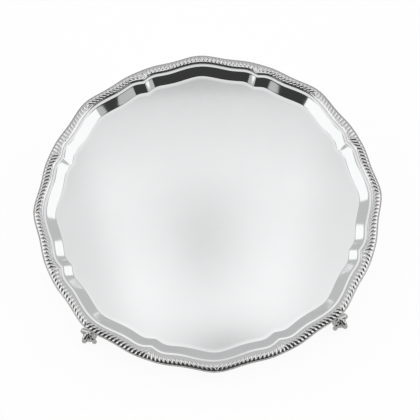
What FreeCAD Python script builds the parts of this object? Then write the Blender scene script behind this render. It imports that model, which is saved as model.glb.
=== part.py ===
import FreeCAD, Part
import math
import os

# Sterling silver salver: a raised sheet tray with an eight-bracket shaped
# side wall, a cast gadroon border applied in eight lengths, and four cast
# claw-and-ball feet.  Millimetres.  +Z up, origin on the resting plane under
# the centre of the tray.  An apex of the outline lies on +X.

V = FreeCAD.Vector

# ---------------------------------------------------------------- dimensions
LOBES = 8                      # brackets round the outline
SECTOR = 360.0 / LOBES         # one bracket, notch to notch
R_MEAN = 149.36                # mean radius of the outline
# outline harmonics: r = R_MEAN + sum a_k cos(8 k theta)
OUTLINE = [0.872, 1.05, 0.337, -0.043, 0.026, -0.004]

SHEET = 0.9                    # thickness of the raised sheet
Z_WELL = 24.5                  # top of the well
Z_FLANGE = 31.0                # top of the flange the border sits on
EDGE_SETBACK = 0.35            # flange edge inside the border's edge

# angles from the apex to the notch, degrees, with the radius there of the
# corner between well and wall, and of the corner between wall and flange
KNOT = [0.0, 4.0, 8.0, 11.3, 15.0, 18.5, 20.7, 22.5]
WELL_R = [133.1, 131.9, 130.2, 129.6, 130.1, 130.7, 129.6, 128.3]
RIDGE_R = [140.5, 139.7, 138.1, 137.0, 137.3, 138.0, 136.9, 135.2]
# inner edge of the border, with a bare ledge of flange inside it
BORDER_R = [142.8, 142.0, 140.4, 139.35, 139.65, 140.3, 139.2, 137.7]

FILLET_WELL = 0.50             # tangent length of the bend at the well
FILLET_TOP = 0.90              # tangent length of the bend at the flange
BEND_OUT = 0.33                # longer or shorter by this on the sheet's other side

STEP_W = 1.45                  # inner step of the border: width of its rise
STEP_H = 1.65                  # and height above the flange
CREST_IN = 3.4                 # control heights of the crest above the flange:
CREST_OUT = 3.2                # the crest itself comes to 2.8
RIM_W = 1.25                   # plain rim outside the gadroon band
RIM_H = 0.60                   # and its height above the flange

FOOT_R = 149.5                 # ball centre from the tray's axis
BALL_R = 6.4
BALL_Z = 5.9                   # ball centre above the resting plane
TALON_R = 1.9                  # talon thickness, as a radius
TALON_ARC = 7.15               # talon centre line from the ball centre
TALON_TURNS = [0.0, 76.0, -76.0, 180.0]
TALON_FROM = 12.0              # from the top of the ball
TALON_TO = 126.0
PAD_R = 118.5                  # centre of the foot's soldering pad
PAD_DEPTH = 10.5               # half length along the radius
PAD_WIDTH = 9.2                # half width across it
PAD_T = 1.5                    # thickness
# leg sections: centre r, z, direction of the leg in the radial plane,
# half depth in that plane, half width across it
LEG = [
    (115.0, 22.4, 1.00, -0.04, 0.9, 5.6),
    (122.5, 21.3, 0.98, -0.20, 2.0, 6.7),
    (130.0, 19.5, 0.95, -0.31, 3.1, 6.6),
    (137.2, 16.8, 0.87, -0.50, 3.6, 5.5),
    (142.9, 13.3, 0.72, -0.69, 3.3, 4.4),
    (146.3, 10.0, 0.66, -0.75, 3.0, 3.7),
    (149.0, 7.0, 0.66, -0.75, 2.8, 3.2),
]

SECTIONS = [0.0, 2.0, 4.0, 6.0, 8.0, 10.0, 12.0, 14.0, 16.0, 17.5, 18.8, 20.0, 21.2, 22.5]


# ------------------------------------------------------------------- helpers
def spline(xs, ys):
    """Cubic through the points, level at the first, free at the last."""
    n = len(xs)
    h = [xs[i + 1] - xs[i] for i in range(n - 1)]
    a = [0.0] * n
    b = [0.0] * n
    c = [0.0] * n
    d = [0.0] * n
    b[0] = 2.0 * h[0]
    c[0] = h[0]
    d[0] = 6.0 * ((ys[1] - ys[0]) / h[0])
    for i in range(1, n - 1):
        a[i] = h[i - 1]
        b[i] = 2.0 * (h[i - 1] + h[i])
        c[i] = h[i]
        d[i] = 6.0 * ((ys[i + 1] - ys[i]) / h[i] - (ys[i] - ys[i - 1]) / h[i - 1])
    b[n - 1] = 1.0
    for i in range(1, n):
        w = a[i] / b[i - 1]
        b[i] -= w * c[i - 1]
        d[i] -= w * d[i - 1]
    m = [0.0] * n
    m[n - 1] = d[n - 1] / b[n - 1]
    for i in range(n - 2, -1, -1):
        m[i] = (d[i] - c[i] * m[i + 1]) / b[i]

    def f(x):
        i = 0
        while i < n - 2 and x > xs[i + 1]:
            i += 1
        t0 = xs[i + 1] - x
        t1 = x - xs[i]
        return (m[i] * t0 ** 3 + m[i + 1] * t1 ** 3) / (6.0 * h[i]) \
            + (ys[i] / h[i] - m[i] * h[i] / 6.0) * t0 \
            + (ys[i + 1] / h[i] - m[i + 1] * h[i] / 6.0) * t1
    return f


well_r = spline(KNOT, WELL_R)
ridge_r = spline(KNOT, RIDGE_R)
border_r = spline(KNOT, BORDER_R)


def outline_r(delta):
    t = math.radians(delta)
    return R_MEAN + sum(a * math.cos(LOBES * (k + 1) * t) for k, a in enumerate(OUTLINE))


def at(theta, r, z):
    t = math.radians(theta)
    return V(r * math.cos(t), r * math.sin(t), z)


def line(theta, p, q):
    return Part.LineSegment(at(theta, *p), at(theta, *q)).toShape()


def bend(theta, *poles):
    c = Part.BezierCurve()
    c.setPoles([at(theta, *p) for p in poles])
    return c.toShape()


def rotated(shape, degrees):
    s = shape.copy()
    s.rotate(V(0, 0, 0), V(0, 0, 1), degrees)
    return s


def angles():
    return [-d for d in reversed(SECTIONS[1:])] + SECTIONS


# ----------------------------------------------------------------- tray body
def tray_profile(theta):
    d = abs(theta)
    rw = well_r(d)
    rt = ridge_r(d)
    rf = outline_r(d) - EDGE_SETBACK
    slope = math.atan2(Z_FLANGE - Z_WELL, rt - rw)
    c, s = math.cos(slope), math.sin(slope)
    g = SHEET * math.tan(slope / 2.0)
    zw, zf = Z_WELL, Z_FLANGE
    zwb, zfb = Z_WELL - SHEET, Z_FLANGE - SHEET
    fw, ft = FILLET_WELL, FILLET_TOP
    fb = FILLET_WELL + BEND_OUT
    fu = FILLET_TOP - BEND_OUT
    p1 = (rw - fw, zw)
    p2 = (rw + fw * c, zw + fw * s)
    p3 = (rt - ft * c, zf - ft * s)
    p4 = (rt + ft, zf)
    p5 = (rf, zf)
    p6 = (rf, zfb)
    p7 = (rt + g + fu, zfb)
    p8 = (rt + g - fu * c, zfb - fu * s)
    p9 = (rw + g + fb * c, zwb + fb * s)
    p10 = (rw + g - fb, zwb)
    return Part.Wire([
        bend(theta, p1, (rw, zw), p2),
        line(theta, p2, p3),
        bend(theta, p3, (rt, zf), p4),
        line(theta, p4, p5),
        line(theta, p5, p6),
        line(theta, p6, p7),
        bend(theta, p7, (rt + g, zfb), p8),
        line(theta, p8, p9),
        bend(theta, p9, (rw + g, zwb), p10),
    ])


def make_tray():
    sector = Part.makeLoft([tray_profile(t) for t in angles()], False, False)
    faces = []
    for k in range(LOBES):
        faces += rotated(sector, k * SECTOR).Faces
    inner = [e for f in faces for e in f.Edges]
    loops = {}
    for z in (Z_WELL, Z_WELL - SHEET):
        edges = []
        for e in inner:
            b = e.BoundBox
            if abs(b.ZMin - z) > 1e-5 or abs(b.ZMax - z) > 1e-5:
                continue
            v0, v1 = e.Vertexes[0].Point, e.Vertexes[-1].Point
            if abs(math.hypot(v0.x, v0.y) - math.hypot(v1.x, v1.y)) > 1e-4:
                continue
            if (v0 - v1).Length < 1.0:
                continue
            edges.append(e)
        loops[z] = edges
    caps = []
    for z, edges in loops.items():
        wire = Part.Wire(Part.__sortEdges__(edges))
        caps.append(Part.Face(wire))
    shell = Part.makeShell(faces + caps)
    shell.sewShape()
    if shell.ShapeType != "Shell":
        shell = shell.Shells[0]
    solid = Part.makeSolid(shell)
    if solid.Volume < 0:
        solid.reverse()
    return solid


# -------------------------------------------------------------------- border
def border_profile(theta):
    d = abs(theta)
    ri = border_r(d)
    ro = outline_r(d)
    zf = Z_FLANGE
    rc = ri + STEP_W
    re = ro - RIM_W
    a = (ri, zf)
    c = (rc, zf + STEP_H)
    e = (re, zf + RIM_H + 0.10)
    f = (ro - 0.30, zf + RIM_H)
    g = (ro, zf + RIM_H - 0.12)
    h = (ro, zf)
    return Part.Wire([
        bend(theta, a, (ri + 0.14 * STEP_W, zf + 0.37 * STEP_H),
             (ri + 0.45 * STEP_W, zf + 0.70 * STEP_H), c),
        bend(theta, c, (rc + 0.30 * (re - rc), zf + CREST_IN),
             (rc + 0.80 * (re - rc), zf + CREST_OUT), e),
        line(theta, e, f),
        line(theta, f, g),
        line(theta, g, h),
        line(theta, h, a),
    ])


def make_border():
    return Part.makeLoft([border_profile(t) for t in angles()], True, False)


# ---------------------------------------------------------------------- feet
def leg_section(r, z, dr, dz, depth, width):
    n = math.hypot(dr, dz)
    in_plane = V(-dz / n, 0, dr / n)
    across = V(0, 1, 0)
    centre = V(r, 0, z)
    e = Part.Ellipse(centre + across * width, centre + in_plane * depth, centre)
    return Part.Wire([e.toShape()])


def make_foot():
    centre = V(FOOT_R, 0, BALL_Z)
    body = Part.makeSphere(BALL_R, centre)
    talons = []
    for turn in TALON_TURNS:
        start = math.radians(TALON_FROM)
        p = centre + V(math.sin(start), 0, math.cos(start)) * TALON_ARC
        tangent = V(math.cos(start), 0, -math.sin(start))
        disc = Part.Face(Part.Wire([Part.makeCircle(TALON_R, p, tangent)]))
        arm = disc.revolve(centre, V(0, 1, 0), TALON_TO - TALON_FROM)
        end = math.radians(TALON_TO)
        tip = Part.makeSphere(TALON_R, centre + V(math.sin(end), 0, math.cos(end)) * TALON_ARC)
        knuckle_at = math.radians(70.0)
        knuckle = Part.makeSphere(TALON_R + 0.35,
                                  centre + V(math.sin(knuckle_at), 0, math.cos(knuckle_at)) * TALON_ARC)
        one = arm.fuse([tip, knuckle])
        one.rotate(centre, V(0, 0, 1), turn)
        talons.append(one)
    crown = Part.makeSphere(TALON_R + 2.2, centre + V(-0.6, 0, TALON_ARC - 0.6))
    leg = Part.makeLoft([leg_section(*s) for s in LEG], True, False)
    oval = Part.Ellipse(V(PAD_R, 0, 0), PAD_DEPTH, PAD_WIDTH).toShape()
    oval.translate(V(0, 0, Z_WELL - SHEET - PAD_T))
    pad = Part.Face(Part.Wire([oval])).extrude(V(0, 0, PAD_T))
    foot = body.fuse(talons + [crown, leg, pad])
    below = Part.makeBox(80, 80, 20, V(FOOT_R - 40, -40, -20))
    above = Part.makeBox(80, 80, 20, V(FOOT_R - 60, -40, Z_WELL - SHEET))
    foot = foot.cut(below).cut(above)
    foot = foot.removeSplitter()
    return foot.Solids[0] if len(foot.Solids) == 1 else foot


# --------------------------------------------------------------------- build
def main():
    os.makedirs("parts", exist_ok=True)
    total = 0.0

    def keep(name, shape):
        nonlocal total
        ok = shape.isValid()
        total += shape.Volume
        b = shape.BoundBox
        print("%-18s valid %s solids %d volume %9.1f  x %7.2f %7.2f  y %7.2f %7.2f  z %6.2f %6.2f" % (
            name, ok, len(shape.Solids), shape.Volume, b.XMin, b.XMax, b.YMin, b.YMax, b.ZMin, b.ZMax))
        shape.exportStep("parts/%s.step" % name)

    keep("tray_body", make_tray())
    border = make_border()
    for k in range(LOBES):
        keep("border_segment_%d" % (k + 1), rotated(border, k * SECTOR))
    foot = make_foot()
    for k in range(4):
        keep("foot_%d" % (k + 1), rotated(foot, 45.0 + 90.0 * k))
    print("total volume mm3 %.1f, sterling mass g %.1f" % (total, total * 10.36e-3))


main()
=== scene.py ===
import math

import bpy
import numpy as np
from mathutils import Matrix, Vector


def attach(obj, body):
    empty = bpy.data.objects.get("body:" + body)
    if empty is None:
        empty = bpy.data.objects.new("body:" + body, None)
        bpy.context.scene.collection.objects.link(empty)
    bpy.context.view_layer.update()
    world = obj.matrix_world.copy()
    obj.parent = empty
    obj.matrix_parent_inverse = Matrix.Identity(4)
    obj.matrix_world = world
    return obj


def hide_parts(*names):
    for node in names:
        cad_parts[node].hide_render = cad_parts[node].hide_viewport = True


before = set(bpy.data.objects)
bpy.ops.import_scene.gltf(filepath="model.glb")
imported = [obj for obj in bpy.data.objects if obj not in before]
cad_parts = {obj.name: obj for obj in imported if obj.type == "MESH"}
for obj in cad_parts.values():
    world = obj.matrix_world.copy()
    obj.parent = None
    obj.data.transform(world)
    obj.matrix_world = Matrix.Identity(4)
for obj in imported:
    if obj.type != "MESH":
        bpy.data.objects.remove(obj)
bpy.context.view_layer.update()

MM = 0.001

# --------------------------------------------------------------------------
# The salver's own dimensions, millimetres, as in the CAD model.
# --------------------------------------------------------------------------
LOBES = 8
SECTOR = 360.0 / LOBES
R_MEAN = 149.36
OUTLINE = [0.872, 1.05, 0.337, -0.043, 0.026, -0.004]
SHEET = 0.9
Z_WELL = 24.5
Z_FLANGE = 31.0
EDGE_SETBACK = 0.35
KNOT = [0.0, 4.0, 8.0, 11.3, 15.0, 18.5, 20.7, 22.5]
WELL_R = [133.1, 131.9, 130.2, 129.6, 130.1, 130.7, 129.6, 128.3]
RIDGE_R = [140.5, 139.7, 138.1, 137.0, 137.3, 138.0, 136.9, 135.2]
BORDER_R = [142.8, 142.0, 140.4, 139.35, 139.65, 140.3, 139.2, 137.7]
STEP_W = 1.45
STEP_H = 1.6
RIM_W = 1.00
GADROONS_HALF = 16             # lobes between an apex and the next notch
FOOT_R = 149.5
BALL_R = 6.4
BALL_Z = 5.9


def spline(xs, ys):
    """Cubic through the points, level at the first, free at the last."""
    n = len(xs)
    h = np.diff(xs)
    ys = np.array(ys, float)
    a = np.zeros((n, n))
    d = np.zeros(n)
    a[0, 0], a[0, 1], d[0] = 2 * h[0], h[0], 6 * (ys[1] - ys[0]) / h[0]
    for i in range(1, n - 1):
        a[i, i - 1], a[i, i], a[i, i + 1] = h[i - 1], 2 * (h[i - 1] + h[i]), h[i]
        d[i] = 6 * ((ys[i + 1] - ys[i]) / h[i] - (ys[i] - ys[i - 1]) / h[i - 1])
    a[n - 1, n - 1] = 1
    m = np.linalg.solve(a, d)
    xs = np.array(xs, float)

    def f(x):
        x = np.clip(np.asarray(x, float), xs[0], xs[-1])
        i = np.clip(np.searchsorted(xs, x, side="left") - 1, 0, n - 2)
        t0, t1 = xs[i + 1] - x, x - xs[i]
        return (m[i] * t0 ** 3 + m[i + 1] * t1 ** 3) / (6 * h[i]) \
            + (ys[i] / h[i] - m[i] * h[i] / 6) * t0 + (ys[i + 1] / h[i] - m[i + 1] * h[i] / 6) * t1
    return f


well_r = spline(KNOT, WELL_R)
ridge_r = spline(KNOT, RIDGE_R)
border_r = spline(KNOT, BORDER_R)


def outline_r(delta):
    t = np.radians(delta)
    return R_MEAN + sum(a * np.cos(LOBES * (k + 1) * t) for k, a in enumerate(OUTLINE))


def soft_notch(delta, eps):
    """The angle from the apex, with the crease at the notch eased over eps degrees."""
    x = np.clip(SECTOR / 2 - np.abs(delta), 0, None)
    return SECTOR / 2 - np.sqrt(x * x + eps * eps * np.exp(-(x / (3.0 * eps)) ** 2))


# --------------------------------------------------------------------------
# Camera
# --------------------------------------------------------------------------
CAM = dict(f=1016.24, dist=880.0, elev=65.28, roll=-2.635, tx=1.880, ty=-7.379, turn=0.571, z=32.0)


def make_camera():
    e, roll, turn = (math.radians(CAM[k]) for k in ("elev", "roll", "turn"))
    tgt = Vector((CAM["tx"], CAM["ty"], CAM["z"]))
    back = Vector((0, -math.cos(e), math.sin(e)))
    right = Vector((1, 0, 0))
    up = back.cross(right)
    r2 = right * math.cos(roll) + up * math.sin(roll)
    u2 = up * math.cos(roll) - right * math.sin(roll)
    spin = Matrix.Rotation(-turn, 3, "Z")
    m = Matrix((spin @ r2, spin @ u2, spin @ back)).transposed().to_4x4()
    m.translation = (spin @ (tgt + back * CAM["dist"])) * MM
    data = bpy.data.cameras.new("camera")
    data.sensor_width = 36.0
    data.lens = CAM["f"] / 420.0 * 36.0
    data.clip_start, data.clip_end = 0.01, 20.0
    cam = bpy.data.objects.new("camera", data)
    bpy.context.scene.collection.objects.link(cam)
    cam.matrix_world = m
    bpy.context.scene.camera = cam


make_camera()


# --------------------------------------------------------------------------
# Mesh helpers
# --------------------------------------------------------------------------
def new_mesh(name, verts, faces, smooth_angle=35.0, attrs=None):
    me = bpy.data.meshes.new(name)
    me.from_pydata((np.asarray(verts, float) * MM).tolist(), [], [tuple(f) for f in faces])
    me.update()
    me.polygons.foreach_set("use_smooth", [True] * len(me.polygons))
    if smooth_angle:
        me.set_sharp_from_angle(angle=math.radians(smooth_angle))
    for key, values in (attrs or {}).items():
        a = me.attributes.new(key, "FLOAT", "POINT")
        a.data.foreach_set("value", np.asarray(values, np.float32))
    ob = bpy.data.objects.new(name, me)
    bpy.context.scene.collection.objects.link(ob)
    return ob


def grid_faces(rows, cols, wrap_cols=False, wrap_rows=False, offset=0):
    """Quads of a rows x cols grid, wound so that rows x cols points outward."""
    nr = rows if wrap_rows else rows - 1
    nc = cols if wrap_cols else cols - 1
    i, j = np.meshgrid(np.arange(nr), np.arange(nc), indexing="ij")
    i2, j2 = (i + 1) % rows, (j + 1) % cols
    q = np.stack([i * cols + j, i * cols + j2, i2 * cols + j2, i2 * cols + j], -1)
    return (q.reshape(-1, 4) + offset).tolist()


def bezier(points, n, first=True):
    """n+1 points of a Bezier curve; each control point is a pair of arrays (r, z)."""
    t = np.linspace(0, 1, n + 1)
    if not first:
        t = t[1:]
    k = len(points) - 1
    out_r, out_z = 0, 0
    for i, (r, z) in enumerate(points):
        w = math.comb(k, i) * t ** i * (1 - t) ** (k - i)
        out_r = out_r + w[:, None] * np.asarray(r, float)[None, :]
        out_z = out_z + w[:, None] * np.broadcast_to(np.asarray(z, float), np.shape(r))[None, :]
    return out_r, out_z


def smoothstep(a, b, x):
    t = np.clip((x - a) / (b - a), 0, 1)
    return t * t * (3 - 2 * t)


# --------------------------------------------------------------------------
# The raised sheet: well, side wall and flange in one skin
# --------------------------------------------------------------------------
def sector_angles(per_half):
    """Angles over one full turn, closer together near each notch."""
    s = np.linspace(0, 1, per_half + 1)
    half = SECTOR / 2 * (1 - (1 - s) ** 1.5)
    one = np.concatenate([-half[::-1][:-1], half[:-1]])
    theta = np.concatenate([one + k * SECTOR for k in range(LOBES)])
    delta = np.tile(one, LOBES)
    return theta, delta


def make_tray():
    theta, delta = sector_angles(56)
    n = len(theta)
    t = np.radians(theta)
    d = soft_notch(delta, 0.43)
    rw, rt = well_r(d), ridge_r(d)
    rf = outline_r(delta) - EDGE_SETBACK
    one = np.ones(n)
    slope = np.arctan2(Z_FLANGE - Z_WELL, rt - rw)
    c, s = np.cos(slope), np.sin(slope)
    g = SHEET * np.tan(slope / 2)
    zf, zw = Z_FLANGE, Z_WELL
    zfb, zwb = zf - SHEET, zw - SHEET
    fw, ft = 0.50, 0.90
    fb, fu = 0.83, 0.57
    rings = []

    def add(r, z):
        for a, b in zip(r, z):
            rings.append((a, b))

    # top skin, from the middle outward
    for q in np.linspace(0, 1, 30)[1:-1] ** 0.75:
        edge = rw - fw
        r = edge * q if q < 0.5 else edge * q
        blend = smoothstep(0.45, 1.0, q)
        r = (1 - blend) * (np.mean(edge) * q) + blend * (edge * q)
        rings.append((r, zw * one))
    add(*bezier([(rw - fw, zw * one), (rw - 0.35 * fw, zw * one), (rw + 0.35 * fw * c, zw + 0.35 * fw * s), (rw + fw * c, zw + fw * s)], 12))
    # the wall, straight: its term for a slight hollow is set to zero
    pw0 = (rw + fw * c, zw + fw * s)
    pw1 = (rt - ft * c, zf - ft * s)
    q = np.linspace(0, 1, 15)[1:-1]
    hollow = 0.0
    wr = pw0[0][None, :] * (1 - q[:, None]) + pw1[0][None, :] * q[:, None] + s[None, :] * (hollow * 4 * q * (1 - q))[:, None]
    wz = pw0[1][None, :] * (1 - q[:, None]) + pw1[1][None, :] * q[:, None] - c[None, :] * (hollow * 4 * q * (1 - q))[:, None]
    add(wr, wz)
    add(*bezier([pw1, (rt - 0.35 * ft * c, zf - 0.35 * ft * s), (rt + 0.35 * ft, zf * one), (rt + ft, zf * one)], 10))
    for q in np.linspace(0, 1, 7)[1:-1]:
        rings.append(((rt + ft) * (1 - q) + (rf - 0.25) * q, zf * one))
    # the flange edge, gently rounded
    for a in np.radians(np.linspace(90, -90, 9)):
        rings.append((rf - 0.3 + 0.3 * np.cos(a), zf - SHEET / 2 + (SHEET / 2) * math.sin(a) * one))
    # underside, back to the middle
    for q in np.linspace(0, 1, 7)[1:-1]:
        rings.append(((rf - 0.3) * (1 - q) + (rt + g + fu) * q, zfb * one))
    pu0 = (rt + g - fu * c, zfb - fu * s)
    pu1 = (rw + g + fb * c, zwb + fb * s)
    add(*bezier([(rt + g + fu, zfb * one), (rt + g, zfb * one), pu0], 6))
    q = np.linspace(0, 1, 15)[1:-1]
    add(pu0[0][None, :] * (1 - q[:, None]) + pu1[0][None, :] * q[:, None],
        pu0[1][None, :] * (1 - q[:, None]) + pu1[1][None, :] * q[:, None])
    add(*bezier([pu1, (rw + g, zwb * one), (rw + g - fb, zwb * one)], 8))
    for q in (np.linspace(0, 1, 20)[1:-1] ** 0.75)[::-1]:
        edge = rw + g - fb
        blend = smoothstep(0.45, 1.0, q)
        rings.append(((1 - blend) * (np.mean(edge) * q) + blend * (edge * q), zwb * one))

    verts = []
    for r, z in rings:
        verts.append(np.stack([r * np.cos(t), r * np.sin(t), z], -1))
    rows = len(verts)
    verts = np.concatenate(verts)
    faces = grid_faces(rows, n, wrap_cols=True)
    faces = [f[::-1] for f in faces]
    top, bottom = len(verts), len(verts) + 1
    verts = np.concatenate([verts, [[0, 0, zw], [0, 0, zwb]]])
    last = (rows - 1) * n
    for j in range(n):
        k = (j + 1) % n
        faces.append((top, j, k))
        faces.append((bottom, last + k, last + j))
    return new_mesh("salver_tray", verts, faces, 38.0)


# --------------------------------------------------------------------------
# The cast gadroon border, one length from notch to notch
# --------------------------------------------------------------------------
GAD_V     = [0.0, 0.10, 0.23, 0.36, 0.47, 0.58, 0.70, 0.80, 0.89, 0.95, 1.0]
GAD_RIDGE = [1.60, 1.96, 2.42, 2.68, 2.74, 2.58, 2.24, 1.86, 1.42, 1.08, 0.68]
GAD_FLOOR = [1.55, 1.60, 1.64, 1.66, 1.64, 1.56, 1.38, 1.16, 0.92, 0.76, 0.62]


def easy(x, xs, ys):
    """Smooth monotone-ish curve through a short table."""
    xs, ys = np.array(xs, float), np.array(ys, float)
    d = np.diff(ys) / np.diff(xs)
    m = np.concatenate([[d[0]], (d[1:] + d[:-1]) / 2, [d[-1]]])
    i = np.clip(np.searchsorted(xs, x, side="right") - 1, 0, len(xs) - 2)
    h = xs[i + 1] - xs[i]
    t = (x - xs[i]) / h
    return (2 * t ** 3 - 3 * t ** 2 + 1) * ys[i] + (t ** 3 - 2 * t ** 2 + t) * h * m[i] \
        + (-2 * t ** 3 + 3 * t ** 2) * ys[i + 1] + (t ** 3 - t ** 2) * h * m[i + 1]


def make_border(k):
    per_lobe = 18
    cols = 2 * GADROONS_HALF * per_lobe + 1
    delta = np.linspace(-SECTOR / 2, SECTOR / 2, cols)
    ad = np.abs(delta)
    t = np.radians(delta + k * SECTOR)
    one = np.ones(cols)
    ri = border_r(soft_notch(delta, 0.30))
    ro = outline_r(delta)
    zf = Z_FLANGE
    w = STEP_W
    rings = []
    tarnish_and_shade = []

    def add(r, z, rows_tarnish_and_shade=None):
        for i, (a, b) in enumerate(zip(r, z)):
            rings.append((a, b))
            tarnish_and_shade.append(np.zeros(cols) if rows_tarnish_and_shade is None else np.broadcast_to(rows_tarnish_and_shade[i], (cols,)))

    # inner step, rising steeply off the ledge and easing into the lobes
    # darker at the foot of the step, fading out up the step
    add(*bezier([(ri, zf * one), (ri + 0.14 * w, zf + 0.60), (ri + 0.45 * w, zf + 1.12), (ri + w, zf + STEP_H)], 12),
        np.linspace(1.0, 0.0, 13)[:, None] ** 1.2)
    # gadroon band
    rg = ri + w
    rows_v = 50
    v = np.linspace(0, 1, rows_v + 1)[1:]
    ge = ro - RIM_W
    band_r = rg[None, :] * (1 - v[:, None]) + ge[None, :] * v[:, None]
    u = ad / (SECTOR / 2) * GADROONS_HALF                     # lobes from the apex
    sweep = 0.88 * (1 - v) ** 1.25                            # inner ends lean towards the notch
    psi = u[None, :] - sweep[:, None]
    x = 2 * (psi - np.floor(psi)) - 1
    lobe = np.clip(1 - np.abs(x) ** 1.75, 0, 1) ** 0.74
    crest = zf + easy(v, GAD_V, GAD_RIDGE)[:, None]
    floor_ = zf + easy(v, GAD_V, GAD_FLOOR)[:, None]
    band_z = floor_ + (crest - floor_) * lobe
    # darker in the grooves between the lobes, fading in over the inner quarter of the band
    band_tarnish_and_shade = (1 - lobe) ** 1.6 * smoothstep(0.0, 0.25, v)[:, None]
    # the outer end of the band and the rim toned darker: painted shade
    band_tarnish_and_shade = np.maximum(band_tarnish_and_shade, 0.78 * smoothstep(0.86, 1.0, v)[:, None])
    add(band_r, band_z, band_tarnish_and_shade)
    # plain rim and edge, toned darker all over as painted shade
    z_last = band_z[-1]
    add(*bezier([(ge, z_last), (ge + 0.12, zf + 0.58), (ge + 0.40, zf + 0.58), (ro - 0.45, zf + 0.56)], 6, False),
        0.78 * np.ones((6, 1)))
    add(*bezier([(ro - 0.45, zf + 0.56), (ro - 0.10, zf + 0.54), (ro, zf + 0.44), (ro, zf + 0.14)], 6, False),
        0.78 * np.ones((6, 1)))
    add([ro - 0.04, ro - 0.18], [zf + 0.04 + 0 * one, zf * one])
    # underside
    for q in (0.33, 0.66):
        add([(ro - 0.18) * (1 - q) + ri * q], [zf * one])

    rows = len(rings)
    verts = np.concatenate([np.stack([r * np.cos(t), r * np.sin(t), z], -1) for r, z in rings])
    tarnish_and_shade = np.concatenate([np.asarray(c, float) for c in tarnish_and_shade])
    faces = [f[::-1] for f in grid_faces(rows, cols, wrap_rows=True)]
    # close the two ends
    ends = []
    for j in (0, cols - 1):
        ring = np.arange(rows) * cols + j
        ends.append(ring)
    faces.append(tuple(int(i) for i in ends[0]))
    faces.append(tuple(int(i) for i in ends[1][::-1]))
    return new_mesh("gadroon_border_%d" % (k + 1), verts, faces, 50.0, {"tarnish_and_shade": tarnish_and_shade})


# --------------------------------------------------------------------------
# The cast claw-and-ball feet
# --------------------------------------------------------------------------
def sphere_points(n_u=20, n_v=12):
    verts = [(0, 0, 1)]
    for i in range(1, n_v):
        a = math.pi * i / n_v
        for j in range(n_u):
            b = 2 * math.pi * j / n_u
            verts.append((math.sin(a) * math.cos(b), math.sin(a) * math.sin(b), math.cos(a)))
    verts.append((0, 0, -1))
    faces = []
    for j in range(n_u):
        faces.append((0, 1 + j, 1 + (j + 1) % n_u))
    for i in range(n_v - 2):
        a, b = 1 + i * n_u, 1 + (i + 1) * n_u
        for j in range(n_u):
            k = (j + 1) % n_u
            faces.append((a + j, b + j, b + k, a + k))
    last = len(verts) - 1
    a = 1 + (n_v - 2) * n_u
    for j in range(n_u):
        faces.append((last, a + (j + 1) % n_u, a + j))
    return np.array(verts), faces


SPH_V, SPH_F = sphere_points()


class Clay:
    """Overlapping closed lumps, joined into one skin by a voxel remesh."""

    def __init__(self):
        self.v, self.f, self.n = [], [], 0

    def mesh(self, verts, faces):
        self.v.append(np.asarray(verts, float))
        self.f += [tuple(i + self.n for i in f) for f in faces]
        self.n += len(verts)

    def blob(self, centre, size, axes=None):
        size = np.broadcast_to(np.asarray(size, float), (3,))
        p = SPH_V * size
        if axes is not None:
            p = p @ np.asarray(axes, float)
        self.mesh(p + np.asarray(centre, float), SPH_F)

    def tube(self, path, across, depth, width, sides=28):
        """Swept super-ellipse: path points, a side vector each, half depth and half width."""
        path = np.asarray(path, float)
        tan = np.gradient(path, axis=0)
        tan /= np.linalg.norm(tan, axis=1, keepdims=True)
        verts = []
        a = np.linspace(0, 2 * math.pi, sides, endpoint=False)
        for p, tt, sd, de, wi in zip(path, tan, across, depth, width):
            sd = np.asarray(sd, float)
            sd = sd - tt * (sd @ tt)
            sd /= np.linalg.norm(sd)
            up = np.cross(sd, tt)
            verts += [p + sd * (wi * math.cos(x)) + up * (de * math.sin(x)) for x in a]
        n = len(path)
        faces = [f for f in grid_faces(n, sides, wrap_cols=True)]
        verts += [path[0], path[-1]]
        c0, c1 = n * sides, n * sides + 1
        for j in range(sides):
            k = (j + 1) % sides
            faces.append((c0, k, j))
            faces.append((c1, (n - 1) * sides + j, (n - 1) * sides + k))
        self.mesh(verts, faces)


def catmull(points, n):
    """Smooth samples through rows of numbers."""
    p = np.asarray(points, float)
    p = np.vstack([2 * p[0] - p[1], p, 2 * p[-1] - p[-2]])
    out = []
    for i in range(1, len(p) - 2):
        for t in np.linspace(0, 1, n, endpoint=False):
            out.append(0.5 * ((2 * p[i]) + (-p[i - 1] + p[i + 1]) * t
                              + (2 * p[i - 1] - 5 * p[i] + 4 * p[i + 1] - p[i + 2]) * t * t
                              + (-p[i - 1] + 3 * p[i] - 3 * p[i + 1] + p[i + 2]) * t ** 3))
    out.append(p[-2])
    return np.array(out)


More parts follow.
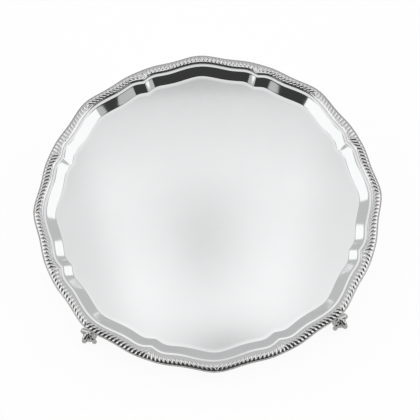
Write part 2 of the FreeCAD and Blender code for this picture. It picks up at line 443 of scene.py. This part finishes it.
def make_foot_master():
    clay = Clay()
    centre = np.array([FOOT_R, 0.0, BALL_Z])
    # ball
    clay.blob(centre, 6.05)
    # four talons, each with two knuckles and a nail
    for turn, reach in ((0.0, 1.0), (76.0, 1.0), (-76.0, 1.0), (180.0, 0.96)):
        a = math.radians(turn)
        out = np.array([math.cos(a), math.sin(a), 0.0])
        side = np.array([-math.sin(a), math.cos(a), 0.0])
        for ang in np.linspace(8, 132, 46):
            b = math.radians(ang)
            k = (ang - 8) / 124.0
            knuckle = math.exp(-((ang - 52) / 11.0) ** 2) + 0.9 * math.exp(-((ang - 92) / 9.0) ** 2)
            r = 1.62 + 0.50 * knuckle
            if ang > 108:
                r = 1.62 * (1 - 0.55 * ((ang - 108) / 24.0) ** 1.3)
            arc = (BALL_R + 0.42 + 0.25 * knuckle) * reach
            p = centre + (out * math.sin(b) + np.array([0, 0, 1.0]) * math.cos(b)) * arc
            clay.blob(p, (r, r * 1.05, r))
    # ankle and leg
    leg = [
        # r, z, depth, width
        (113.0, 22.6, 0.9, 4.6),
        (119.0, 22.0, 1.3, 6.2),
        (125.0, 20.9, 2.2, 6.6),
        (131.0, 19.2, 3.0, 6.2),
        (137.0, 16.9, 3.4, 5.2),
        (142.6, 13.8, 3.1, 4.1),
        (146.0, 10.8, 2.8, 3.5),
        (148.6, 7.8, 2.6, 3.1),
    ]
    rows = catmull(leg, 8)
    path = np.stack([rows[:, 0], rows[:, 0] * 0, rows[:, 1]], -1)
    clay.tube(path, [(0, 1, 0)] * len(path), rows[:, 2], rows[:, 3])
    # crown where the talons spring from the ankle
    clay.blob(centre + np.array([-1.3, 0, 6.0]), (4.0, 3.9, 2.8))
    # raised spine down the leg
    ridge = rows[10:-6]
    for q in ridge:
        clay.blob((q[0] + 0.25 * q[2], 0, q[1] + 0.93 * q[2]), (0.75, 0.75, 0.75))
    # knee leaf: five ribs fanning from the ankle side to the pad
    for s, reach in ((0.0, 1.0), (0.32, 0.93), (-0.32, 0.93), (0.62, 0.80), (-0.62, 0.80)):
        for q in np.linspace(0, 1, 26):
            r = 141.0 - q * 21.0 * reach
            row = rows[np.argmin(np.abs(rows[:, 0] - r))]
            y = s * row[3] * 1.25 * (0.35 + 0.65 * q ** 0.7)
            lift = math.sqrt(max(0.0, 1 - (y / row[3]) ** 2)) if abs(y) < row[3] else 0.0
            z = row[1] + row[2] * lift * 0.9
            clay.blob((r, y, min(z, 22.5)), (0.9, 0.75, 0.65))
    # pad under the well
    pad = []
    a = np.linspace(0, 2 * math.pi, 96, endpoint=False)
    scallop = 1 + 0.035 * np.abs(np.cos(4.5 * a)) * (np.cos(a) < 0.6)
    px = 118.5 + 10.1 * np.cos(a) * scallop
    py = 8.8 * np.sin(a) * scallop
    for z, k in ((23.58, 1.0), (23.2, 1.0), (22.6, 0.97), (22.3, 0.90)):
        pad.append(np.stack([118.5 + (px - 118.5) * k, py * k, np.full_like(a, z)], -1))
    n = len(a)
    pv = np.concatenate(pad)
    pf = [f for f in grid_faces(4, n, wrap_cols=True)]
    pf.append(tuple(range(n - 1, -1, -1)))
    pf.append(tuple(3 * n + j for j in range(n)))
    clay.mesh(pv, [f[::-1] for f in pf])

    me = bpy.data.meshes.new("foot_clay")
    me.from_pydata((np.concatenate(clay.v) * MM).tolist(), [], clay.f)
    me.update()
    ob = bpy.data.objects.new("foot_clay", me)
    bpy.context.scene.collection.objects.link(ob)
    mod = ob.modifiers.new("skin", "REMESH")
    mod.mode = "VOXEL"
    mod.voxel_size = 0.21 * MM
    mod.adaptivity = 0.0
    sm = ob.modifiers.new("soften", "SMOOTH")
    sm.factor = 0.5
    sm.iterations = 3
    dg = bpy.context.evaluated_depsgraph_get()
    out = bpy.data.meshes.new_from_object(ob.evaluated_get(dg))
    bpy.data.objects.remove(ob)
    co = np.zeros(len(out.vertices) * 3)
    out.vertices.foreach_get("co", co)
    co = co.reshape(-1, 3) / MM
    # flat where it stands, and flat where it is soldered
    co[:, 2] = np.maximum(co[:, 2], 0.0)
    co[:, 2] = np.minimum(co[:, 2], Z_WELL - SHEET)
    polys = [tuple(p.vertices) for p in out.polygons]
    # recesses: where the skin is hollow, for the darker tone between the talons: painted shade where the ball
    # recesses lie in shadow, and tarnish
    nrm = np.zeros(len(out.vertices) * 3)
    out.vertices.foreach_get("normal", nrm)
    nrm = nrm.reshape(-1, 3)
    edges = np.zeros(len(out.edges) * 2, int)
    out.edges.foreach_get("vertices", edges)
    edges = edges.reshape(-1, 2)
    curv = np.zeros(len(co))
    cnt = np.zeros(len(co))
    dv = co[edges[:, 1]] - co[edges[:, 0]]
    ln = np.linalg.norm(dv, axis=1) + 1e-9
    for a_, b_, sgn in ((0, 1, 1.0), (1, 0, -1.0)):
        val = np.sum(dv * sgn * nrm[edges[:, a_]], 1) / ln
        np.add.at(curv, edges[:, a_], val)
        np.add.at(cnt, edges[:, a_], 1)
    curv = curv / np.maximum(cnt, 1)
    for _ in range(6):
        acc = np.zeros(len(co))
        np.add.at(acc, edges[:, 0], curv[edges[:, 1]])
        np.add.at(acc, edges[:, 1], curv[edges[:, 0]])
        curv = 0.5 * curv + 0.5 * acc / np.maximum(cnt, 1)
    tarnish_and_shade = np.clip(curv * 21.0, 0, 1)
    bpy.data.meshes.remove(out)
    return co, polys, tarnish_and_shade


# --------------------------------------------------------------------------
# Materials
# --------------------------------------------------------------------------
def nodes_of(name):
    m = bpy.data.materials.new(name)
    m.use_nodes = True
    nt = m.node_tree
    bsdf = nt.nodes["Principled BSDF"]
    return m, nt, bsdf


def silver(name, base, tarnish_and_shade_colour, rough_lo, rough_hi, tarnish_and_shade=False, scratch=1.0, wave=0.0, hammer=0.0):
    m, nt, bsdf = nodes_of(name)
    L = nt.links.new

    def node(kind, **props):
        n = nt.nodes.new(kind)
        for k, v in props.items():
            setattr(n, k, v)
        return n

    bsdf.inputs["Metallic"].default_value = 1.0
    tc = node("ShaderNodeTexCoord")
    pos = tc.outputs["Object"]

    # broad, faint tone of old polish
    broad = node("ShaderNodeTexNoise")
    broad.inputs["Scale"].default_value = 22.0
    broad.inputs["Detail"].default_value = 4.0
    broad.inputs["Roughness"].default_value = 0.55
    L(pos, broad.inputs["Vector"])
    ramp = node("ShaderNodeValToRGB")
    ramp.color_ramp.elements[0].position = 0.30
    ramp.color_ramp.elements[0].color = (*[0.975 * c for c in base], 1)
    ramp.color_ramp.elements[1].position = 0.72
    ramp.color_ramp.elements[1].color = (*base, 1)
    L(broad.outputs["Fac"], ramp.inputs["Fac"])
    colour = ramp.outputs["Color"]
    # where the recess attribute is high the colour goes towards the darker colour, broken up by noise: painted shade
    # in the feet's recesses and on the border's rim, and tarnish
    if tarnish_and_shade:
        at = node("ShaderNodeAttribute", attribute_name="tarnish_and_shade")
        tarnish_and_shade_noise = node("ShaderNodeTexNoise")
        tarnish_and_shade_noise.inputs["Scale"].default_value = 420.0
        tarnish_and_shade_noise.inputs["Detail"].default_value = 3.0
        L(pos, tarnish_and_shade_noise.inputs["Vector"])
        gm = node("ShaderNodeMapRange")
        gm.inputs["From Min"].default_value = 0.3
        gm.inputs["From Max"].default_value = 0.7
        gm.inputs["To Min"].default_value = 0.65
        gm.inputs["To Max"].default_value = 1.0
        L(tarnish_and_shade_noise.outputs["Fac"], gm.inputs["Value"])
        mul = node("ShaderNodeMath", operation="MULTIPLY")
        L(at.outputs["Fac"], mul.inputs[0])
        L(gm.outputs["Result"], mul.inputs[1])
        cr = node("ShaderNodeMapRange", interpolation_type="SMOOTHSTEP")
        cr.inputs["From Min"].default_value = 0.15
        cr.inputs["From Max"].default_value = 0.95
        L(mul.outputs["Value"], cr.inputs["Value"])
        mix = node("ShaderNodeMix", data_type="RGBA", blend_type="MIX")
        L(cr.outputs["Result"], mix.inputs["Factor"])
        L(colour, mix.inputs[6])
        mix.inputs[7].default_value = (*tarnish_and_shade_colour, 1)
        colour = mix.outputs[2]
    L(colour, bsdf.inputs["Base Color"])

    # polish: fine swirls and a few straight handling scratches
    swirl = node("ShaderNodeTexNoise")
    swirl.inputs["Scale"].default_value = 160.0
    swirl.inputs["Detail"].default_value = 6.0
    swirl.inputs["Roughness"].default_value = 0.7
    L(pos, swirl.inputs["Vector"])
    rough = node("ShaderNodeMapRange")
    rough.inputs["From Min"].default_value = 0.25
    rough.inputs["From Max"].default_value = 0.75
    rough.inputs["To Min"].default_value = rough_lo
    rough.inputs["To Max"].default_value = rough_hi
    L(swirl.outputs["Fac"], rough.inputs["Value"])
    r_out = rough.outputs["Result"]
    if tarnish_and_shade:
        add = node("ShaderNodeMath", operation="MULTIPLY_ADD")
        L(cr.outputs["Result"], add.inputs[0])
        add.inputs[1].default_value = 0.22
        L(r_out, add.inputs[2])
        r_out = add.outputs["Value"]
    L(r_out, bsdf.inputs["Roughness"])

    # relief too fine for the mesh
    height = None
    for i, (turn, stretch, scale) in enumerate(((0.35, 0.012, 900.0), (1.45, 0.010, 1100.0), (2.5, 0.014, 800.0))):
        mp = node("ShaderNodeMapping", vector_type="POINT")
        mp.inputs["Rotation"].default_value = (0, 0, turn)
        mp.inputs["Scale"].default_value = (stretch, 1.0, 1.0)
        L(pos, mp.inputs["Vector"])
        nz = node("ShaderNodeTexNoise")
        nz.inputs["Scale"].default_value = scale
        nz.inputs["Detail"].default_value = 2.0
        L(mp.outputs["Vector"], nz.inputs["Vector"])
        th = node("ShaderNodeMapRange")
        th.inputs["From Min"].default_value = 0.66
        th.inputs["From Max"].default_value = 0.74
        th.inputs["To Min"].default_value = 0.0
        th.inputs["To Max"].default_value = 1.0
        L(nz.outputs["Fac"], th.inputs["Value"])
        if height is None:
            height = th.outputs["Result"]
        else:
            s_ = node("ShaderNodeMath", operation="ADD")
            L(height, s_.inputs[0])
            L(th.outputs["Result"], s_.inputs[1])
            height = s_.outputs["Value"]
    b1 = node("ShaderNodeBump", invert=True)
    b1.inputs["Strength"].default_value = 0.05 * scratch
    b1.inputs["Distance"].default_value = 0.00002
    L(height, b1.inputs["Height"])
    normal = b1.outputs["Normal"]
    if wave > 0:
        # the sheet is flat only to the eye: long shallow planishing waves
        wv = node("ShaderNodeTexNoise")
        wv.inputs["Scale"].default_value = 14.0
        wv.inputs["Detail"].default_value = 1.5
        L(pos, wv.inputs["Vector"])
        b2 = node("ShaderNodeBump")
        b2.inputs["Strength"].default_value = 1.0
        b2.inputs["Distance"].default_value = wave
        L(wv.outputs["Fac"], b2.inputs["Height"])
        L(normal, b2.inputs["Normal"])
        normal = b2.outputs["Normal"]
    if hammer > 0:
        hm = node("ShaderNodeTexNoise")
        hm.inputs["Scale"].default_value = 900.0
        hm.inputs["Detail"].default_value = 3.0
        L(pos, hm.inputs["Vector"])
        b3 = node("ShaderNodeBump")
        b3.inputs["Strength"].default_value = 1.0
        b3.inputs["Distance"].default_value = hammer
        L(hm.outputs["Fac"], b3.inputs["Height"])
        L(normal, b3.inputs["Normal"])
        normal = b3.outputs["Normal"]
    L(normal, bsdf.inputs["Normal"])
    return m


SHEET_SILVER = silver("sheet_silver", (0.936, 0.944, 0.949), (0.3, 0.28, 0.25), 0.045, 0.085, wave=0.00003)
BORDER_SILVER = silver("cast_border_silver", (0.930, 0.932, 0.932), (0.42, 0.41, 0.39), 0.06, 0.11, tarnish_and_shade=True, hammer=0.000004)
# feet: a darker silver, partly the tone of less polished cast silver, partly painted shade for the shadowed floor
# they reflect; near black in the recesses
FOOT_SILVER = silver("cast_foot_silver", (0.780, 0.775, 0.765), (0.055, 0.055, 0.057), 0.12, 0.20, tarnish_and_shade=True, hammer=0.000008)


# --------------------------------------------------------------------------
# Build
# --------------------------------------------------------------------------
tray = make_tray()
tray.data.materials.append(SHEET_SILVER)
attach(tray, "root")
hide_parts("tray_body")

for k in range(LOBES):
    b = make_border(k)
    b.data.materials.append(BORDER_SILVER)
    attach(b, "root")
    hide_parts("border_segment_%d" % (k + 1))

foot_co, foot_faces, foot_tarnish_and_shade = make_foot_master()
for k in range(4):
    a = math.radians(45 + 90 * k)
    rot = np.array([[math.cos(a), -math.sin(a), 0], [math.sin(a), math.cos(a), 0], [0, 0, 1]])
    f = new_mesh("claw_foot_%d" % (k + 1), foot_co @ rot.T, foot_faces, 0.0, {"tarnish_and_shade": foot_tarnish_and_shade})
    f.data.materials.append(FOOT_SILVER)
    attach(f, "root")
    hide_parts("foot_%d" % (k + 1))

for name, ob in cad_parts.items():
    mat = SHEET_SILVER if name == "tray_body" else (BORDER_SILVER if name.startswith("border") else FOOT_SILVER)
    ob.data.materials.clear()
    ob.data.materials.append(mat)


# --------------------------------------------------------------------------
# Studio: pale floor, and a white tent with an open dark side by the camera
# --------------------------------------------------------------------------
def make_floor():
    me = bpy.data.meshes.new("floor")
    s = 6.0
    me.from_pydata([(-s, -s, 0), (s, -s, 0), (s, s, 0), (-s, s, 0)], [], [(0, 1, 2, 3)])
    ob = bpy.data.objects.new("floor", me)
    bpy.context.scene.collection.objects.link(ob)
    ob.location.z = -0.00002
    m = bpy.data.materials.new("floor")
    m.use_nodes = True
    nt = m.node_tree
    nt.nodes.clear()
    out = nt.nodes.new("ShaderNodeOutputMaterial")
    dif = nt.nodes.new("ShaderNodeBsdfDiffuse")
    dif.inputs["Color"].default_value = (0.16, 0.16, 0.16, 1)
    em = nt.nodes.new("ShaderNodeEmission")
    em.inputs["Color"].default_value = (1, 1, 1, 1)
    # bright to the eye, a quieter grey in the silver's reflections
    lp = nt.nodes.new("ShaderNodeLightPath")
    ma = nt.nodes.new("ShaderNodeMath")
    ma.operation = "MULTIPLY_ADD"
    nt.links.new(lp.outputs["Is Camera Ray"], ma.inputs[0])
    ma.inputs[1].default_value = 0.505
    ma.inputs[2].default_value = 0.40
    nt.links.new(ma.outputs[0], em.inputs["Strength"])
    add = nt.nodes.new("ShaderNodeAddShader")
    nt.links.new(dif.outputs[0], add.inputs[0])
    nt.links.new(em.outputs[0], add.inputs[1])
    nt.links.new(add.outputs[0], out.inputs["Surface"])
    me.materials.append(m)


make_floor()


def make_world():
    w = bpy.data.worlds.new("studio")
    bpy.context.scene.world = w
    w.use_nodes = True
    nt = w.node_tree
    nt.nodes.clear()
    L = nt.links.new

    def math_(op, a, b=None, c=None, clamp=False):
        n = nt.nodes.new("ShaderNodeMath")
        n.operation = op
        n.use_clamp = clamp
        for i, x in enumerate((a, b, c)):
            if x is None:
                continue
            if isinstance(x, (int, float)):
                n.inputs[i].default_value = x
            else:
                L(x, n.inputs[i])
        return n.outputs[0]

    def step(x, lo, hi):
        """0 below lo, 1 above hi, smooth between; reversed when lo > hi."""
        n = nt.nodes.new("ShaderNodeMapRange")
        n.interpolation_type = "SMOOTHSTEP"
        n.inputs["From Min"].default_value = min(lo, hi)
        n.inputs["From Max"].default_value = max(lo, hi)
        n.inputs["To Min"].default_value = 0.0 if lo < hi else 1.0
        n.inputs["To Max"].default_value = 1.0 if lo < hi else 0.0
        L(x, n.inputs["Value"])
        return n.outputs["Result"]

    def mul(*xs):
        out = xs[0]
        for x in xs[1:]:
            out = math_("MULTIPLY", out, x)
        return out

    def mix(a, b, fac):
        """a + (b - a) * fac"""
        d = b - a if isinstance(a, (int, float)) and isinstance(b, (int, float)) else math_("SUBTRACT", b, a)
        return math_("MULTIPLY_ADD", fac, d, a)

    tc = nt.nodes.new("ShaderNodeTexCoord")
    sep = nt.nodes.new("ShaderNodeSeparateXYZ")
    L(tc.outputs["Generated"], sep.inputs[0])
    X, Y, Z = sep.outputs
    deg = 180.0 / math.pi
    el = math_("MULTIPLY", math_("ARCSINE", Z), deg)
    ny = math_("MULTIPLY", Y, -1.0)
    az = math_("MULTIPLY", math_("ARCTAN2", X, ny), deg)      # 0 beside the camera, + to the right
    aaz = math_("ABSOLUTE", az)

    base = math_("SUBTRACT", 1.03, math_("MULTIPLY", step(el, 62.0, 74.0), 0.25))
    back = math_("SUBTRACT", 180.0, aaz)                       # degrees from straight behind
    side = math_("SIGN", X)
    off = math_("MULTIPLY", back, side)                        # the same, + to the right

    def gauss(x, centre, width):
        d = math_("MULTIPLY", math_("SUBTRACT", x, centre), 1.0 / width)
        return math_("EXPONENT", math_("MULTIPLY", math_("MULTIPLY", d, d), -1.0))

    # overhead and behind: a large pale sheet, its tone by height
    tone = nt.nodes.new("ShaderNodeValToRGB")
    stops = [(58.0, 0.720), (59.5, 0.785), (60.5, 0.825), (61.5, 0.860), (62.5, 0.900), (63.5, 0.925), (65.5, 0.935),
             (67.5, 0.960), (69.0, 0.985), (70.5, 0.985), (71.5, 0.930), (73.0, 0.870), (76.0, 0.870), (82.0, 0.78)]
    ramp = tone.color_ramp
    while len(ramp.elements) < len(stops):
        ramp.elements.new(0.5)
    for e_, (h_, v_) in zip(ramp.elements, stops):
        e_.position = (h_ - 58.0) / 24.0
    for e_, (h_, v_) in zip(ramp.elements, stops):
        e_.color = (v_, v_, v_, 1.0)
    L(math_("MULTIPLY", math_("SUBTRACT", el, 58.0), 1.0 / 24.0), tone.inputs["Fac"])
    over = tone.outputs["Color"]
    over = math_("SUBTRACT", over, math_("MULTIPLY", mul(gauss(off, -0.4, 6.0), gauss(el, 67.0, 3.4)), 0.20))
    over = math_("SUBTRACT", over, math_("MULTIPLY", mul(gauss(off, 3.0, 9.0), step(el, 71.2, 73.2), step(el, 79.0, 76.0)), 0.29))
    over = math_("SUBTRACT", over, math_("MULTIPLY", step(back, 11.0, 17.5), 0.115))
    over = math_("SUBTRACT", over, math_("MULTIPLY", step(off, -12.0, -17.0), 0.045))
    val = mix(base, over, mul(step(el, 46.0, 54.0), step(el, 84.0, 80.0), step(back, 70.0, 45.0)))

    # grey low wall behind, with a crisp top
    edge2 = math_("MULTIPLY_ADD", math_("MAXIMUM", math_("MINIMUM", el, 20.0), 4.0), -1.2, math_("SUBTRACT", back, 40.4))
    grey2 = mul(math_("MAXIMUM", step(edge2, 1.0, -1.0), mul(step(back, 78.0, 72.0), step(el, 22.0, 28.0))), step(el, 58.75, 58.45))
    val = mix(val, 0.53, grey2)

    # dark open side of the tent, by the camera
    reach = mix(46.5, 42.0, mul(step(X, -0.01, 0.01), step(el, 39.0, 37.5)))
    black = mul(step(math_("SUBTRACT", aaz, reach), 0.75, -0.75), step(el, -1.0, 1.0), step(el, 64.0, 61.0))
    top1 = mix(34.0, 38.0, step(X, -0.01, 0.01))
    high = math_("SUBTRACT", el, top1)
    black_hi = mul(step(aaz, 60.0, 58.5), step(high, -0.5, 0.5), step(el, 64.0, 61.0))
    black_up = mul(step(aaz, 92.0, 80.0), step(el, 41.0, 46.0), step(el, 64.0, 61.0))
    black_lo = mul(step(aaz, 66.0, 64.0), step(el, -1.0, 1.0), step(el, 21.0, 19.5))
    black = math_("MAXIMUM", math_("MAXIMUM", black, black_hi), math_("MAXIMUM", black_lo, black_up))
    grey1 = mul(step(aaz, 59.0, 57.0), step(el, 19.0, 21.0), step(high, 0.5, -0.5))
    spot = mul(step(aaz, 65.0, 66.0), step(aaz, 70.5, 69.5), step(el, 24.5, 25.5), step(el, 29.0, 28.0))
    val = mix(val, 0.50, math_("MAXIMUM", grey1, spot))
    val = mix(val, 0.042, black)

    lp = nt.nodes.new("ShaderNodeLightPath")
    val = mix(val, 1.0, lp.outputs["Is Camera Ray"])
    bg = nt.nodes.new("ShaderNodeBackground")
    L(val, bg.inputs["Color"])
    bg.inputs["Strength"].default_value = 1.0
    out = nt.nodes.new("ShaderNodeOutputWorld")
    L(bg.outputs[0], out.inputs["Surface"])


make_world()

scene = bpy.context.scene
scene.view_settings.view_transform = "Standard"
scene.view_settings.look = "None"
scene.view_settings.exposure = 0.0
scene.view_settings.gamma = 1.0
